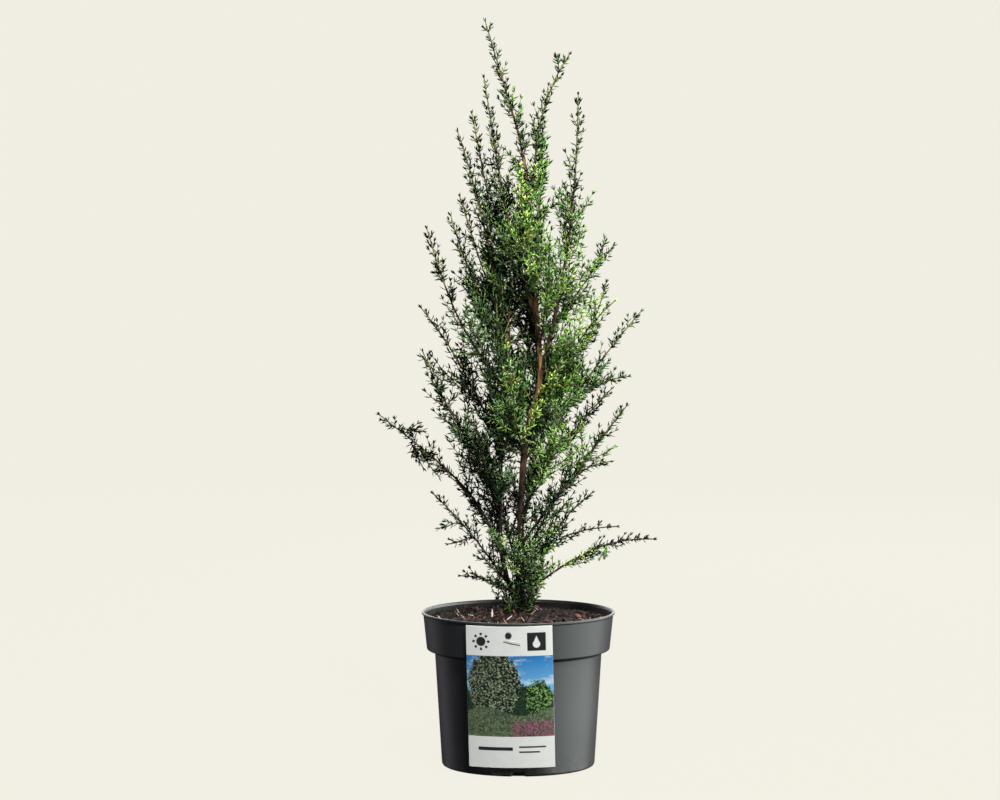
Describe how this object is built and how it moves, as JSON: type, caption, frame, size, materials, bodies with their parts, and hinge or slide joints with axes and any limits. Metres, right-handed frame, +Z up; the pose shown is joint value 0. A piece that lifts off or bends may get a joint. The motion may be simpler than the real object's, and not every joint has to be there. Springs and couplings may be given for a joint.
{
  "type": "potted arnold common juniper",
  "caption": "Young upright common juniper with needle sprays on ascending boughs, in a round dark plastic nursery pot with bark mulch and a blank-worded plant label on its front.",
  "frame": {"origin": "centre of the flat underside of the pot", "axes": "+Z up through the plant, -Y towards the side that carries the label, +X to the right of it"},
  "size_m": [0.273, 0.19, 0.732],
  "materials": {
    "pot": "satin moulded dark grey plastic",
    "soil": "rough dark bark mulch",
    "label": "printed white plastic card",
    "peg": "moulded black plastic",
    "bark": "thin brown flaking bark",
    "foliage": "green juniper needles"
  },
  "bodies": {
    "root": {"pot": "pot", "soil": "soil", "label": "label", "label_peg": "peg", "trunk": "bark", "side_stem": "bark", "bough_leader_far_right": "bark", "bough_leader_left": "bark", "bough_leader_back": "bark", "bough_right_long": "bark", "bough_right_waist": "bark", "bough_right_foot": "bark", "bough_front_high": "bark", "bough_front_right": "bark", "bough_left_upper": "bark", "bough_left_middle": "bark", "bough_left_waist": "bark", "bough_left_long": "bark", "foliage_leader_top": "foliage", "foliage_leader_side": "foliage", "foliage_leader_right": "foliage", "foliage_leader_far_right": "foliage", "foliage_leader_left": "foliage", "foliage_leader_front": "foliage", "foliage_leader_back": "foliage", "foliage_left_foot": "foliage", "foliage_right_high": "foliage", "foliage_right_upper": "foliage", "foliage_right_shoulder": "foliage", "foliage_right_long": "foliage", "foliage_right_middle": "foliage", "foliage_right_back": "foliage", "foliage_right_waist": "foliage", "foliage_right_inner": "foliage", "foliage_right_low": "foliage", "foliage_right_twig": "foliage", "foliage_right_foot": "foliage", "foliage_front_high": "foliage", "foliage_front_middle": "foliage", "foliage_front_right": "foliage", "foliage_front_low": "foliage", "foliage_front_foot": "foliage", "foliage_back_high": "foliage", "foliage_back_upper": "foliage", "foliage_back_low": "foliage", "foliage_back_foot": "foliage", "foliage_leader_outer_left": "foliage", "foliage_leader_back_left": "foliage", "foliage_left_spire": "foliage", "foliage_left_high": "foliage", "foliage_left_upper": "foliage", "foliage_left_middle": "foliage", "foliage_left_waist": "foliage", "foliage_left_back": "foliage", "foliage_left_long": "foliage", "foliage_left_inner": "foliage", "foliage_left_low": "foliage", "foliage_front_upper": "foliage", "foliage_front_left": "foliage", "foliage_back_middle": "foliage"}
  },
  "joints": []
}
